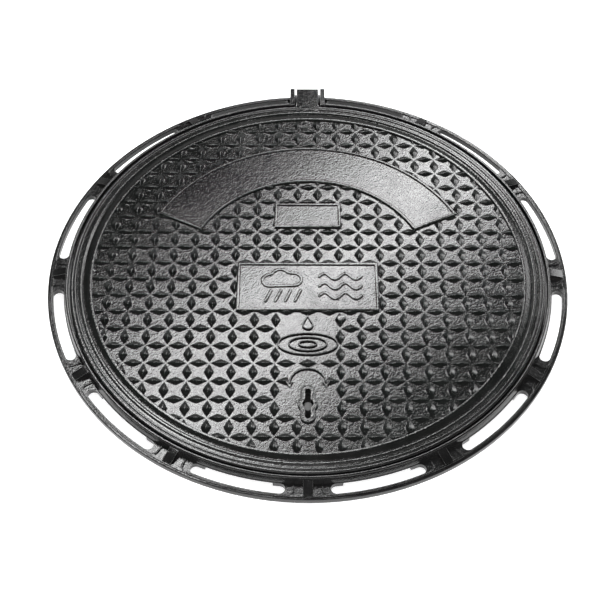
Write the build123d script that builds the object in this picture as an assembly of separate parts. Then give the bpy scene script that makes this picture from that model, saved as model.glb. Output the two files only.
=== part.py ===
"""Round hinged manhole cover in its frame, for a chamber in a road or a yard.

Units are millimetres. The origin is the ring's axis at the base of the frame's skirt.
+Z is up and +Y points to the hinge. The lid lies closed and its lock is open.
"""
from build123d import *
from math import hypot, pi, sqrt
import os

# ---- Frame ring ------------------------------------------------------------------
OVERALL_HEIGHT = 46.0       # skirt base to the top of the rim
RIM_RADIUS = 374.5          # outside of the rim wall, where it meets the flange
RIM_WALL = 6.5
RIM_DRAFT = 2.5             # how much the rim's outside leans in towards its top
SEAT_DEPTH = 13.0           # rim top down to the seat ledge
SEAT_THICKNESS = 9.0
SEAT_WIDTH = 27.0           # rim's inside to the ledge's inner edge
SKIRT_WALL = 8.0
EDGE_ROUND = 1.2            # cast edges
OVERCUT = 5.0               # how far cutting shapes run past what they cut

# ---- Flange, its slots and ribs --------------------------------------------------
FLANGE_WIDTH = 25.5         # rim wall to the flange's edge
FLANGE_DROP = 12.0          # rim top down to the flange's top face
FLANGE_THICKNESS = 8.0
SLOT_COUNT = 12
SLOT_WIDTH = 16.0
SLOT_WALL_GAP = 1.0         # from the rim wall to the slot
SLOT_ANGLE = 20.5           # one slot, end to end, in degrees
RELIEF_ANGLE = 15.0         # the hollow behind each slot, under the rim wall
RELIEF_DEPTH = 9.0          # how far that hollow leans in under the wall
LIP_HEIGHT = 1.6            # raised line outside the slots
LIP_WIDTH = 3.6
LIP_SETBACK = 4.0           # from the flange's edge to the lip
RIB_WIDTH = 14.0
RIB_DROP = 3.0              # rim top down to the rib where it leaves the wall
RIB_SLOPE = 5.5             # how much lower its outer end is

# ---- Lid -------------------------------------------------------------------------
LID_GAP = 3.0               # all round, between the lid and the rim
GASKET_THICKNESS = 3.0
GASKET_INSET = 2.0          # from the ledge's edges to the gasket
SEATING_GAP = 0.1           # the lid rests this much clear of the relaxed gasket
BORDER_WIDTH = 33.0         # the ringed band round the tread
TREAD_DEPTH = 3.0           # lid top down to the floor of the tread
PLATE_THICKNESS = 8.5
GROOVE_DEPTH = 1.6
BORDER_EDGE_DROP = 1.2      # the lid's outermost band lies this much lower
BORDER_MARKS = (4.5, 8.5, 13.0, 15.0, 18.5, 20.0, 23.0, 24.0, 26.5, 27.5)  # ring edges, out from the tread
RIB_CLEARANCE = 1.2         # lock bar up to the underside ribs
UNDER_RIB_WIDTH = 10.0
UNDER_RIB_ANGLES = (0, 45, 90, 135, 180, 225, 315)
OUTER_RING_INSET = 10.0     # tread's edge in to the outer ring-shaped rib
MIDDLE_RING_GAP = 25.0      # lock housing in to the middle one
INNER_RING_RADIUS = 70.0

# ---- Blank plates on the lid -----------------------------------------------------
PLATE_LIP = 4.0             # width of the raised line round each plate
BAND_INNER = 188.0          # curved plate
BAND_OUTER = 265.0
BAND_ANGLE = 127.0
SMALL_PLATE = (105.0, 51.0)
SMALL_PLATE_Y = 114.0
LARGE_PLATE = (216.0, 93.5)
LARGE_PLATE_Y = -32.0
PLATE_FLOOR_RISE = 1.2      # plate floor above the tread floor

# ---- Hinge -----------------------------------------------------------------------
CHEEK_THICKNESS = 7.5
CHEEK_SPACING = 43.7        # between the cheeks' inner faces
CHEEK_REACH = 32.5          # cheeks' outer ends, beyond the rim wall
TONGUE_SIDE_GAP = 3.45      # each side of the tongue, inside the cheeks
TONGUE_SETBACK = 1.0        # tongue's end inside the cheeks' ends
TONGUE_NOSE = 8.0           # thickness of its outer end
PIN_REACH = 15.5            # pin axis beyond the rim wall
PIN_RADIUS = 5.0
PIN_CLEARANCE = 0.05
BUSH_WALL = 2.0
BUSH_LENGTH = 14.0
KNUCKLE_WALL = 2.75
KNUCKLE_DEPTH = 0.2         # lid top down to the knuckle
HINGE_WASHER_RADIUS = 8.5
HINGE_WASHER_GAP = 0.25
POCKET_MARGIN = 3.5         # rim wall to the open pocket under the tongue
LOCK_PIN_RADIUS = 1.5
LOCK_PIN_BITE = 2.5         # how far a spring pin runs into the hinge pin
LOCK_PIN_WALL = 0.5
PIN_CHAMFER = 0.6

# ---- Keyhole and lock ------------------------------------------------------------
KEYHOLE_INSET = 84.0        # tread's edge in to the keyhole's middle
KEYHOLE_RADIUS = 8.4
KEYHOLE_LENGTH = 52.0
KEYHOLE_WIDTH = 8.6
KEYHOLE_RIM = 6.5           # width of the raised rim that follows the keyhole
KEYHOLE_RIM_DROP = 0.6      # lid top down to that rim
KEY_STEP = 5.0              # length of each of the two steps in the key slot
KEY_STEP_RISE = 2.0
HOUSING_WALL = 4.5
HOUSING_FLOOR = 5.0
HOUSING_FLANGE_WIDTH = 16.5
HOUSING_FLANGE = 5.0
SEAL_THICKNESS = 1.0
BOLT_EDGE = 6.0             # bolt centres in from the housing flange's edge
BOLT_RADIUS = 3.0
BOLT_HOLE_GAP = 0.3
BOLT_HEAD_FLATS = 10.0
BOLT_HEAD = 4.0
BOLT_WASHER_RADIUS = 6.0
BOLT_WASHER = 1.2
BOLT_BITE = 5.5             # thread length in the lid
THREAD_CLEARANCE = 0.1
ROTOR_WALL = 7.0            # past the ends of the key slot
ROTOR_CLEARANCE = 0.5
ROTOR_TOP_GAP = 0.5         # rotor head under the lid plate
ROTOR_HEAD = 11.0
KEY_SLOT_DEPTH = 7.0
BARREL_RADIUS = 15.0
BARREL_CLEARANCE = 0.05
BARREL_FLAT_DEPTH = 2.0     # taken off each side for the bar's flats
ORING_WIRE = 0.65           # radius of the ring's section
ORING_PLAY = 0.03
BAR_ENGAGEMENT = 5.0        # how far the locked bar runs into the skirt
BAR_WIDTH = 20.0
BAR_EYE_WALL = 7.0
BAR_THICKNESS = 6.0
BAR_WASHER = 2.0
BAR_WASHER_WALL = 6.0
NUT_WALL = 2.0              # from the barrel's radius out to the nut's flats
NUT_HEIGHT = 4.5
STACK_GAP = 0.1             # play between stacked lock pieces
KEEPER_WIDTH = 96.0         # window in the skirt that takes the bar
KEEPER_BELOW = 3.8          # bar down to the window's lower edge
KEEPER_ABOVE = 1.2

# ---- Dust plug -------------------------------------------------------------------
PLUG_GAP = 0.9              # all round, between the plug and the keyhole
PLUG_CLEARANCE = 0.06
PLUG_TOP_DEPTH = 8.0        # lid top down to the plug's face
PLUG_COLLAR_WIDTH = 1.9
PLUG_CHAMFER = 0.8
PLUG_COLLAR = 2.5
PLUG_WEB = 3.0              # rotor material that holds the collar down
SPRING_WIRE = 1.1
SPRING_GAP = 1.0            # spring wire in from the collar's radius
SPRING_END_GAP = 0.1
SPRING_TURNS = 4.0
CAP_THICKNESS = 2.5
CAP_SLOT = 2.0              # screwdriver slot

# ---- Heights and radii that follow -----------------------------------------------
TOP = OVERALL_HEIGHT
SEAT_TOP = TOP - SEAT_DEPTH
SEAT_BOTTOM = SEAT_TOP - SEAT_THICKNESS
RIM_INNER = RIM_RADIUS - RIM_WALL
CLEAR_RADIUS = RIM_INNER - SEAT_WIDTH
SKIRT_RADIUS = CLEAR_RADIUS + SKIRT_WALL
FLANGE_TOP = TOP - FLANGE_DROP
FLANGE_BOTTOM = FLANGE_TOP - FLANGE_THICKNESS
FLANGE_RADIUS = RIM_RADIUS + FLANGE_WIDTH
SLOT_INNER = RIM_RADIUS + SLOT_WALL_GAP
SLOT_OUTER = SLOT_INNER + SLOT_WIDTH
SLOT_PITCH = 360.0 / SLOT_COUNT
LID_RADIUS = RIM_INNER - LID_GAP
BORDER_UNDER = SEAT_TOP + GASKET_THICKNESS
FIELD_RADIUS = LID_RADIUS - BORDER_WIDTH
TREAD_FLOOR = TOP - TREAD_DEPTH
PLATE_UNDER = TREAD_FLOOR - PLATE_THICKNESS
BUSH_RADIUS = PIN_RADIUS + PIN_CLEARANCE + BUSH_WALL
KNUCKLE_RADIUS = BUSH_RADIUS + KNUCKLE_WALL
PIN_Y = RIM_RADIUS + PIN_REACH
PIN_Z = TOP - KNUCKLE_DEPTH - KNUCKLE_RADIUS
CHEEK_INNER = CHEEK_SPACING / 2
CHEEK_OUTER = CHEEK_INNER + CHEEK_THICKNESS
CHEEK_MIDDLE = (CHEEK_INNER + CHEEK_OUTER) / 2
CHEEK_END = RIM_RADIUS + CHEEK_REACH
TONGUE_END = CHEEK_END - TONGUE_SETBACK
TONGUE_HALF = CHEEK_INNER - TONGUE_SIDE_GAP
KEYHOLE_Y = KEYHOLE_INSET - FIELD_RADIUS
LOCK_AXIS = Pos(0, KEYHOLE_Y, 0)
ROTOR_RADIUS = KEYHOLE_LENGTH / 2 + ROTOR_WALL
ROTOR_TOP = PLATE_UNDER - SEAL_THICKNESS - ROTOR_TOP_GAP
ROTOR_FACE = ROTOR_TOP - ROTOR_HEAD
KEY_FLOOR = ROTOR_TOP - KEY_SLOT_DEPTH
HOUSING_TOP = PLATE_UNDER - SEAL_THICKNESS
CAVITY_FLOOR = ROTOR_FACE - STACK_GAP
HOUSING_BOTTOM = CAVITY_FLOOR - HOUSING_FLOOR
CAVITY_RADIUS = ROTOR_RADIUS + ROTOR_CLEARANCE
HOUSING_FLANGE_RADIUS = CAVITY_RADIUS + HOUSING_FLANGE_WIDTH
BOLT_PLACES = PolarLocations(HOUSING_FLANGE_RADIUS - BOLT_EDGE, 4, 45)
BARREL_FLAT = BARREL_RADIUS - BARREL_FLAT_DEPTH
BARREL_THREAD_RADIUS = BARREL_FLAT - THREAD_CLEARANCE
GROOVE_Z = (HOUSING_BOTTOM + CAVITY_FLOOR) / 2
BAR_TOP = HOUSING_BOTTOM - BAR_WASHER - STACK_GAP
BAR_BOTTOM = BAR_TOP - BAR_THICKNESS
NUT_BOTTOM = BAR_BOTTOM - NUT_HEIGHT
BAR_REACH = CLEAR_RADIUS + BAR_ENGAGEMENT + KEYHOLE_Y
KEEPER_BOTTOM = BAR_BOTTOM - KEEPER_BELOW
KEEPER_TOP = BAR_TOP + KEEPER_ABOVE
RIB_BOTTOM = BAR_TOP + RIB_CLEARANCE
OUTER_RING_RADIUS = FIELD_RADIUS - OUTER_RING_INSET
MIDDLE_RING_RADIUS = -KEYHOLE_Y - HOUSING_FLANGE_RADIUS - MIDDLE_RING_GAP
PLUG_RADIUS = KEYHOLE_RADIUS - PLUG_GAP
PLUG_COLLAR_RADIUS = PLUG_RADIUS + PLUG_COLLAR_WIDTH
SPRING_RADIUS = PLUG_COLLAR_RADIUS - SPRING_GAP - SPRING_WIRE / 2
PLUG_TOP = TOP - PLUG_TOP_DEPTH
COLLAR_TOP = KEY_FLOOR - PLUG_WEB
COLLAR_BOTTOM = COLLAR_TOP - PLUG_COLLAR
CAP_TOP = NUT_BOTTOM + CAP_THICKNESS
SPRING_BORE = PLUG_COLLAR_RADIUS + PLUG_CLEARANCE


def turned(points, round_radius=0.0, rounded=()):
    """A solid of revolution about Z from (radius, height) points, with some corners rounded."""
    face = make_face(Polyline(*points, close=True))
    if round_radius > 0:
        corners = [v for v in face.vertices() if any(hypot(v.X - r, v.Y - z) < 0.01 for r, z in rounded)]
        face = fillet(corners, round_radius)
    return revolve(Plane.XZ * face, Axis.Z)


def ring(outer, inner, bottom, top):
    """A plain ring about Z."""
    return turned([(inner, bottom), (outer, bottom), (outer, top), (inner, top)])


def drum(radius, bottom, top):
    """A plain cylinder about Z."""
    return Pos(0, 0, bottom) * Cylinder(radius, top - bottom, align=(Align.CENTER, Align.CENTER, Align.MIN))


def block(x0, x1, y0, y1, z0, z1):
    """A box between two corners."""
    return Pos((x0 + x1) / 2, (y0 + y1) / 2, (z0 + z1) / 2) * Box(x1 - x0, y1 - y0, z1 - z0)


def cross_drum(radius, x0, x1, y=PIN_Y, z=PIN_Z):
    """A cylinder along X, on the hinge axis unless told otherwise."""
    return Pos((x0 + x1) / 2, y, z) * Rot(0, 90, 0) * Cylinder(radius, x1 - x0)


def prism(sketch, bottom, top):
    """A plan shape raised between two heights."""
    return extrude(Pos(0, 0, bottom) * sketch, top - bottom)


def keyhole_plan(grow=0.0):
    """The keyhole's outline: a round middle with a slot towards the hinge and one away from it."""
    slot = Rot(0, 0, 90) * SlotOverall(KEYHOLE_LENGTH + 2 * grow, KEYHOLE_WIDTH + 2 * grow)
    return Circle(KEYHOLE_RADIUS + grow) + slot


def flange_slot(angle):
    """One curved slot with round ends, and the hollow under the rim wall behind it."""
    middle = (SLOT_INNER + SLOT_OUTER) / 2
    end_angle = SLOT_WIDTH / 2 / middle * 180 / pi
    sweep_angle = SLOT_ANGLE - 2 * end_angle
    arc = CenterArc((0, 0), middle, angle - sweep_angle / 2, sweep_angle)
    plan = SlotArc(arc, SLOT_WIDTH)
    cutter = prism(plan, FLANGE_BOTTOM - OVERCUT, FLANGE_TOP + OVERCUT)
    start = FLANGE_TOP - 1
    lean_end = start - RELIEF_DEPTH
    wedge = make_face(Polyline(
        (SLOT_INNER, start), (SLOT_INNER + 2, start), (SLOT_INNER + 2, lean_end - 2),
        (SLOT_INNER - RELIEF_DEPTH, lean_end - 2), (SLOT_INNER - RELIEF_DEPTH, lean_end), close=True))
    relief = revolve(Plane.XZ * wedge, Axis.Z, RELIEF_ANGLE)
    return cutter + Rot(0, 0, angle - RELIEF_ANGLE / 2) * relief


def flange_rib(angle):
    """One rib from the rim wall out to the lip, sloping down outwards."""
    start = RIM_INNER + RIM_WALL / 2
    end = FLANGE_RADIUS - LIP_SETBACK - LIP_WIDTH / 2
    high = TOP - RIB_DROP
    side = Polyline((start, FLANGE_TOP - 1), (end, FLANGE_TOP - 1), (end, high - RIB_SLOPE),
                    (RIM_RADIUS, high), (start, high), close=True)
    rib = extrude(Plane.XZ * make_face(side), RIB_WIDTH / 2, both=True)
    return Rot(0, 0, angle) * rib


def tongue_side():
    """Side view of the hinge tongue, in the YZ plane."""
    root = LID_RADIUS - BORDER_WIDTH / 2
    arm = Polyline((root, BORDER_UNDER), (PIN_Y - KNUCKLE_RADIUS, BORDER_UNDER),
                   (PIN_Y, PIN_Z - KNUCKLE_RADIUS / 2), (TONGUE_END, TOP - TONGUE_NOSE),
                   (TONGUE_END, TOP), (root, TOP), close=True)
    return make_face(arm) + Pos(PIN_Y, PIN_Z) * Circle(KNUCKLE_RADIUS)


def make_frame():
    """The ring casting: rim, seat ledge, skirt, slotted flange, ribs, cheeks and keeper window."""
    lip_out = FLANGE_RADIUS - LIP_SETBACK
    lip_in = lip_out - LIP_WIDTH
    lip_top = FLANGE_TOP + LIP_HEIGHT
    section = [
        (CLEAR_RADIUS, 0), (SKIRT_RADIUS, 0), (SKIRT_RADIUS, SEAT_BOTTOM), (RIM_INNER, SEAT_BOTTOM),
        (RIM_RADIUS, FLANGE_BOTTOM), (FLANGE_RADIUS, FLANGE_BOTTOM), (FLANGE_RADIUS, FLANGE_TOP),
        (lip_out, FLANGE_TOP), (lip_out, lip_top), (lip_in, lip_top), (lip_in, FLANGE_TOP),
        (RIM_RADIUS, FLANGE_TOP), (RIM_RADIUS - RIM_DRAFT, TOP), (RIM_INNER, TOP), (RIM_INNER, SEAT_TOP),
        (CLEAR_RADIUS, SEAT_TOP)]
    rounded = [
        (FLANGE_RADIUS, FLANGE_TOP), (RIM_RADIUS - RIM_DRAFT, TOP), (RIM_INNER, TOP), (CLEAR_RADIUS, SEAT_TOP)]
    frame = turned(section, EDGE_ROUND, rounded)
    for index in range(SLOT_COUNT):
        angle = index * SLOT_PITCH
        if abs(angle - 90) > 1:
            frame += flange_rib(angle)
    for index in range(SLOT_COUNT):
        frame -= flange_slot((index + 0.5) * SLOT_PITCH)
    cheek_root = sqrt(RIM_INNER ** 2 - CHEEK_INNER ** 2)
    for side in (-1, 1):
        inner, outer = sorted((side * CHEEK_INNER, side * CHEEK_OUTER))
        frame += block(inner, outer, cheek_root, CHEEK_END, FLANGE_BOTTOM, TOP)
    pocket_start = RIM_RADIUS + POCKET_MARGIN
    pocket_end = CHEEK_END + OVERCUT
    frame -= block(-CHEEK_INNER, CHEEK_INNER, LID_RADIUS, pocket_end, SEAT_TOP, TOP + OVERCUT)
    frame -= block(-CHEEK_INNER, CHEEK_INNER, pocket_start, pocket_end, 0, TOP + OVERCUT)
    frame -= cross_drum(PIN_RADIUS, -CHEEK_OUTER - OVERCUT, CHEEK_OUTER + OVERCUT)
    for side in (-1, 1):
        frame -= Pos(side * CHEEK_MIDDLE, PIN_Y, 0) * drum(LOCK_PIN_RADIUS, 0, PIN_Z)
    window_start = -SKIRT_RADIUS - OVERCUT
    window_end = -sqrt(CLEAR_RADIUS ** 2 - KEEPER_WIDTH ** 2 / 4) + OVERCUT
    frame -= block(-KEEPER_WIDTH / 2, KEEPER_WIDTH / 2, window_start, window_end, KEEPER_BOTTOM, KEEPER_TOP)
    return frame


def raised_outline(plan, inner_plan):
    """The floor of a blank plate and the line round it, standing on the tread floor."""
    floor = prism(plan, TREAD_FLOOR - 1, TREAD_FLOOR + PLATE_FLOOR_RISE)
    line = prism(plan - inner_plan, TREAD_FLOOR - 1, TOP)
    return floor + line


def band_plan(inset):
    """Plan of the curved plate, drawn smaller by inset all round."""
    middle = (BAND_INNER + BAND_OUTER) / 2
    turn = inset / middle * 180 / pi
    start = 90 - BAND_ANGLE / 2 + turn
    sweep_angle = BAND_ANGLE - 2 * turn
    inner = CenterArc((0, 0), BAND_INNER + inset, start, sweep_angle)
    outer = CenterArc((0, 0), BAND_OUTER - inset, start, sweep_angle)
    edges = [inner, outer, Line(inner @ 0, outer @ 0), Line(inner @ 1, outer @ 1)]
    return make_face(edges)


def make_cover():
    """The lid casting: ringed border, tread plate, blank plates, keyhole, tongue, underside ribs."""
    groove = TOP - GROOVE_DEPTH
    edge_top = TOP - BORDER_EDGE_DROP
    heights = (TOP, groove, groove, TOP, TOP, groove, groove, TOP, TOP, edge_top)
    rings = [(FIELD_RADIUS + mark, height) for mark, height in zip(BORDER_MARKS, heights)]
    section = [
        (0, TREAD_FLOOR), (FIELD_RADIUS, TREAD_FLOOR), (FIELD_RADIUS, TOP), *rings, (LID_RADIUS, edge_top),
        (LID_RADIUS, BORDER_UNDER), (FIELD_RADIUS, BORDER_UNDER), (FIELD_RADIUS - 2, PLATE_UNDER),
        (0, PLATE_UNDER)]
    cover = turned(section, EDGE_ROUND / 2, [(LID_RADIUS, edge_top)])
    for outer in (OUTER_RING_RADIUS, MIDDLE_RING_RADIUS, INNER_RING_RADIUS):
        cover += ring(outer, outer - UNDER_RIB_WIDTH, RIB_BOTTOM, PLATE_UNDER + 1)
    for angle in UNDER_RIB_ANGLES:
        rib = block(INNER_RING_RADIUS - UNDER_RIB_WIDTH / 2, OUTER_RING_RADIUS - UNDER_RIB_WIDTH / 2,
                    -UNDER_RIB_WIDTH / 2, UNDER_RIB_WIDTH / 2, RIB_BOTTOM, PLATE_UNDER + 1)
        cover += Rot(0, 0, angle) * rib
    tongue = extrude(Plane.YZ * tongue_side(), TONGUE_HALF, both=True)
    tongue -= cross_drum(BUSH_RADIUS, -TONGUE_HALF - OVERCUT, TONGUE_HALF + OVERCUT)
    cover += tongue
    cover += raised_outline(band_plan(0), band_plan(PLATE_LIP))
    for (width, depth), centre_y in ((SMALL_PLATE, SMALL_PLATE_Y), (LARGE_PLATE, LARGE_PLATE_Y)):
        place = Pos(0, centre_y)
        inside = Rectangle(width - 2 * PLATE_LIP, depth - 2 * PLATE_LIP)
        cover += raised_outline(place * Rectangle(width, depth), place * inside)
    cover += LOCK_AXIS * prism(keyhole_plan(KEYHOLE_RIM), TREAD_FLOOR - 1, TOP - KEYHOLE_RIM_DROP)
    cover -= LOCK_AXIS * prism(keyhole_plan(), PLATE_UNDER - OVERCUT, TOP + OVERCUT)
    for place in BOLT_PLACES:
        cover -= LOCK_AXIS * place * drum(BOLT_RADIUS, PLATE_UNDER - OVERCUT, PLATE_UNDER + BOLT_BITE + 0.5)
    return cover


def make_seat_gasket():
    """Flat rubber ring on the seat ledge."""
    return ring(RIM_INNER - GASKET_INSET, CLEAR_RADIUS + GASKET_INSET, SEAT_TOP, BORDER_UNDER - SEATING_GAP)


def make_hinge_pin():
    """Steel pin, flush with the cheeks, with a blind hole near each end for its spring pin."""
    pin = cross_drum(PIN_RADIUS - 0.01, -CHEEK_OUTER, CHEEK_OUTER)
    pin = chamfer(pin.edges(), PIN_CHAMFER)
    for side in (-1, 1):
        bottom = PIN_Z - PIN_RADIUS - 1
        hole = drum(LOCK_PIN_RADIUS, bottom, bottom + 1 + LOCK_PIN_BITE)
        pin -= Pos(side * CHEEK_MIDDLE, PIN_Y, 0) * hole
    return pin


def make_pin_lock(side):
    """A slotted spring pin, driven up through a cheek into the hinge pin."""
    top = PIN_Z - PIN_RADIUS + LOCK_PIN_BITE
    tube = ring(LOCK_PIN_RADIUS, LOCK_PIN_RADIUS - LOCK_PIN_WALL, FLANGE_BOTTOM + 1, top)
    tube -= block(0, LOCK_PIN_RADIUS * 2, -0.25, 0.25, 0, TOP)
    return Pos(side * CHEEK_MIDDLE, PIN_Y, 0) * tube


def make_hinge_bush(side):
    """Plain bush pressed into one end of the tongue."""
    outer_end = side * TONGUE_HALF
    x0, x1 = sorted((outer_end, outer_end - side * BUSH_LENGTH))
    return cross_drum(BUSH_RADIUS, x0, x1) - cross_drum(PIN_RADIUS + PIN_CLEARANCE, x0 - 1, x1 + 1)


def make_hinge_washer(side):
    """Thrust washer that fills the gap between the tongue and a cheek."""
    x0, x1 = sorted((side * (TONGUE_HALF + HINGE_WASHER_GAP), side * (CHEEK_INNER - HINGE_WASHER_GAP)))
    return cross_drum(HINGE_WASHER_RADIUS, x0, x1) - cross_drum(PIN_RADIUS + PIN_CLEARANCE, x0 - 1, x1 + 1)


def make_lock_housing():
    """Cast cup under the keyhole: wall, floor with the barrel's bore, and a bolting flange."""
    outer = CAVITY_RADIUS + HOUSING_WALL
    bore = BARREL_RADIUS + BARREL_CLEARANCE
    cup = turned([
        (bore, HOUSING_BOTTOM), (outer, HOUSING_BOTTOM), (outer, HOUSING_TOP - HOUSING_FLANGE),
        (HOUSING_FLANGE_RADIUS, HOUSING_TOP - HOUSING_FLANGE), (HOUSING_FLANGE_RADIUS, HOUSING_TOP),
        (CAVITY_RADIUS, HOUSING_TOP), (CAVITY_RADIUS, CAVITY_FLOOR), (bore, CAVITY_FLOOR)],
        EDGE_ROUND, [(outer, HOUSING_BOTTOM), (HOUSING_FLANGE_RADIUS, HOUSING_TOP - HOUSING_FLANGE)])
    for place in BOLT_PLACES:
        cup -= place * drum(BOLT_RADIUS + BOLT_HOLE_GAP, HOUSING_BOTTOM, HOUSING_TOP + 1)
    return LOCK_AXIS * cup


def make_housing_gasket():
    """Flat seal between the cup's flange and the lid."""
    seal = ring(HOUSING_FLANGE_RADIUS - 0.5, CAVITY_RADIUS + 0.5, HOUSING_TOP, PLATE_UNDER)
    for place in BOLT_PLACES:
        seal -= place * drum(BOLT_RADIUS + BOLT_HOLE_GAP, HOUSING_TOP - 1, PLATE_UNDER + 1)
    return LOCK_AXIS * seal


def make_housing_bolts():
    """Four hexagon bolts, driven up through the cup's flange into the lid."""
    under = HOUSING_TOP - HOUSING_FLANGE - BOLT_WASHER
    head = prism(RegularPolygon(BOLT_HEAD_FLATS / 2, 6, major_radius=False), under - BOLT_HEAD, under)
    bolt = head + drum(BOLT_RADIUS - THREAD_CLEARANCE, under - 0.5, PLATE_UNDER + BOLT_BITE)
    return Compound(children=[LOCK_AXIS * place * bolt for place in BOLT_PLACES])


def make_housing_washers():
    """Four flat washers under the bolt heads."""
    top = HOUSING_TOP - HOUSING_FLANGE
    washer = ring(BOLT_WASHER_RADIUS, BOLT_RADIUS + BOLT_HOLE_GAP, top - BOLT_WASHER, top)
    return Compound(children=[LOCK_AXIS * place * washer for place in BOLT_PLACES])


def barrel_flats(grow, bottom, top):
    """The part of the barrel with two flats, which turns the bar."""
    width = 2 * (BARREL_FLAT + grow)
    plan = Circle(BARREL_RADIUS + grow) & Rectangle(width, 4 * BARREL_RADIUS)
    return prism(plan, bottom, top)


def make_lock_rotor():
    """Disc with the key slot, on a hollow barrel that carries the bar."""
    rotor = drum(ROTOR_RADIUS, ROTOR_FACE, ROTOR_TOP)
    rotor += drum(BARREL_RADIUS, BAR_TOP + STACK_GAP, ROTOR_FACE + 1)
    rotor += barrel_flats(0, BAR_BOTTOM, BAR_TOP + STACK_GAP + 0.5)
    rotor += drum(BARREL_THREAD_RADIUS, NUT_BOTTOM, BAR_BOTTOM + 0.5)
    rotor -= prism(keyhole_plan(), KEY_FLOOR, ROTOR_TOP + 1)
    rotor -= drum(PLUG_RADIUS + PLUG_CLEARANCE, COLLAR_TOP - 1, KEY_FLOOR + 1)
    rotor -= drum(SPRING_BORE, NUT_BOTTOM - 1, COLLAR_TOP)
    groove_half = ORING_WIRE + 4 * ORING_PLAY
    groove_floor = BARREL_RADIUS - 2 * ORING_WIRE
    rotor -= ring(BARREL_RADIUS + 1, groove_floor, GROOVE_Z - groove_half, GROOVE_Z + groove_half)
    step_end = KEYHOLE_LENGTH / 2
    for step in (1, 2):
        reach = step_end - KEY_STEP * step
        rotor += block(-KEYHOLE_WIDTH / 2, KEYHOLE_WIDTH / 2, -step_end, -reach, KEY_FLOOR - 0.5,
                       KEY_FLOOR + KEY_STEP_RISE * (3 - step))
    return LOCK_AXIS * rotor


def make_rotor_oring():
    """Rubber ring in the barrel's groove."""
    return LOCK_AXIS * Pos(0, 0, GROOVE_Z) * Torus(BARREL_RADIUS - ORING_WIRE, ORING_WIRE - ORING_PLAY)


def make_lock_bar():
    """Flat bar on the barrel's flats; it points along +X when open."""
    eye = Circle(BARREL_RADIUS + BAR_EYE_WALL)
    tip = Pos(BAR_REACH - BAR_WIDTH / 2, 0) * Circle(BAR_WIDTH / 2)
    arm = Pos(BAR_REACH / 2 - BAR_WIDTH / 4, 0) * Rectangle(BAR_REACH - BAR_WIDTH / 2, BAR_WIDTH)
    bar = prism(eye + arm + tip, BAR_BOTTOM, BAR_TOP)
    bar -= barrel_flats(0.02, BAR_BOTTOM - 1, BAR_TOP + 1)
    return LOCK_AXIS * bar


def make_bar_washer():
    """Thrust washer between the cup and the bar."""
    outer = BARREL_RADIUS + BAR_WASHER_WALL
    return LOCK_AXIS * ring(outer, BARREL_RADIUS + THREAD_CLEARANCE, BAR_TOP, BAR_TOP + BAR_WASHER)


def make_bar_nut():
    """Thin hexagon nut that clamps the bar."""
    nut = prism(RegularPolygon(BARREL_RADIUS + NUT_WALL, 6, major_radius=False), NUT_BOTTOM, BAR_BOTTOM)
    nut -= drum(BARREL_THREAD_RADIUS + 0.02, NUT_BOTTOM - 1, BAR_BOTTOM + 1)
    return LOCK_AXIS * nut


def make_dust_plug():
    """Plug with a collar, pushed up by its spring into the round middle of the keyhole."""
    plug = turned([
        (0, COLLAR_BOTTOM), (PLUG_COLLAR_RADIUS, COLLAR_BOTTOM), (PLUG_COLLAR_RADIUS, COLLAR_TOP),
        (PLUG_RADIUS, COLLAR_TOP), (PLUG_RADIUS, PLUG_TOP - PLUG_CHAMFER),
        (PLUG_RADIUS - PLUG_CHAMFER, PLUG_TOP), (0, PLUG_TOP)])
    return LOCK_AXIS * plug


def make_plug_spring():
    """Coil spring between the cap and the plug's collar."""
    low = CAP_TOP + SPRING_WIRE / 2 + SPRING_END_GAP
    high = COLLAR_BOTTOM - SPRING_WIRE / 2 - SPRING_END_GAP
    path = Helix((high - low) / SPRING_TURNS, high - low, SPRING_RADIUS)
    profile = Plane(origin=path @ 0, z_dir=path % 0) * Circle(SPRING_WIRE / 2)
    return LOCK_AXIS * Pos(0, 0, low) * sweep(profile, path, is_frenet=True)


def make_spring_cap():
    """Screwed disc that closes the barrel and carries the spring."""
    cap = drum(SPRING_BORE - 0.02, NUT_BOTTOM, CAP_TOP)
    reach = SPRING_BORE / 2
    cap -= block(-reach, reach, -CAP_SLOT / 2, CAP_SLOT / 2, NUT_BOTTOM - 1, NUT_BOTTOM + 1)
    return LOCK_AXIS * cap


PIECES = {
    "frame": make_frame(),
    "cover": make_cover(),
    "seat_gasket": make_seat_gasket(),
    "hinge_pin": make_hinge_pin(),
    "lock_housing": make_lock_housing(),
    "housing_gasket": make_housing_gasket(),
    "housing_bolts": make_housing_bolts(),
    "housing_washers": make_housing_washers(),
    "lock_rotor": make_lock_rotor(),
    "rotor_oring": make_rotor_oring(),
    "lock_bar": make_lock_bar(),
    "bar_washer": make_bar_washer(),
    "bar_nut": make_bar_nut(),
    "dust_plug": make_dust_plug(),
    "plug_spring": make_plug_spring(),
    "spring_cap": make_spring_cap(),
}
for side_name, side_sign in (("left", -1), ("right", 1)):
    PIECES["hinge_bush_" + side_name] = make_hinge_bush(side_sign)
    PIECES["hinge_washer_" + side_name] = make_hinge_washer(side_sign)
    PIECES["pin_lock_" + side_name] = make_pin_lock(side_sign)

os.makedirs("parts", exist_ok=True)
for node, shape in PIECES.items():
    export_step(shape, "parts/" + node + ".step")
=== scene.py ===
"""Looks for the round hinged manhole cover: painted castings, petal tread, raised marks, hinge and lock."""
import math
import random

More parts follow.
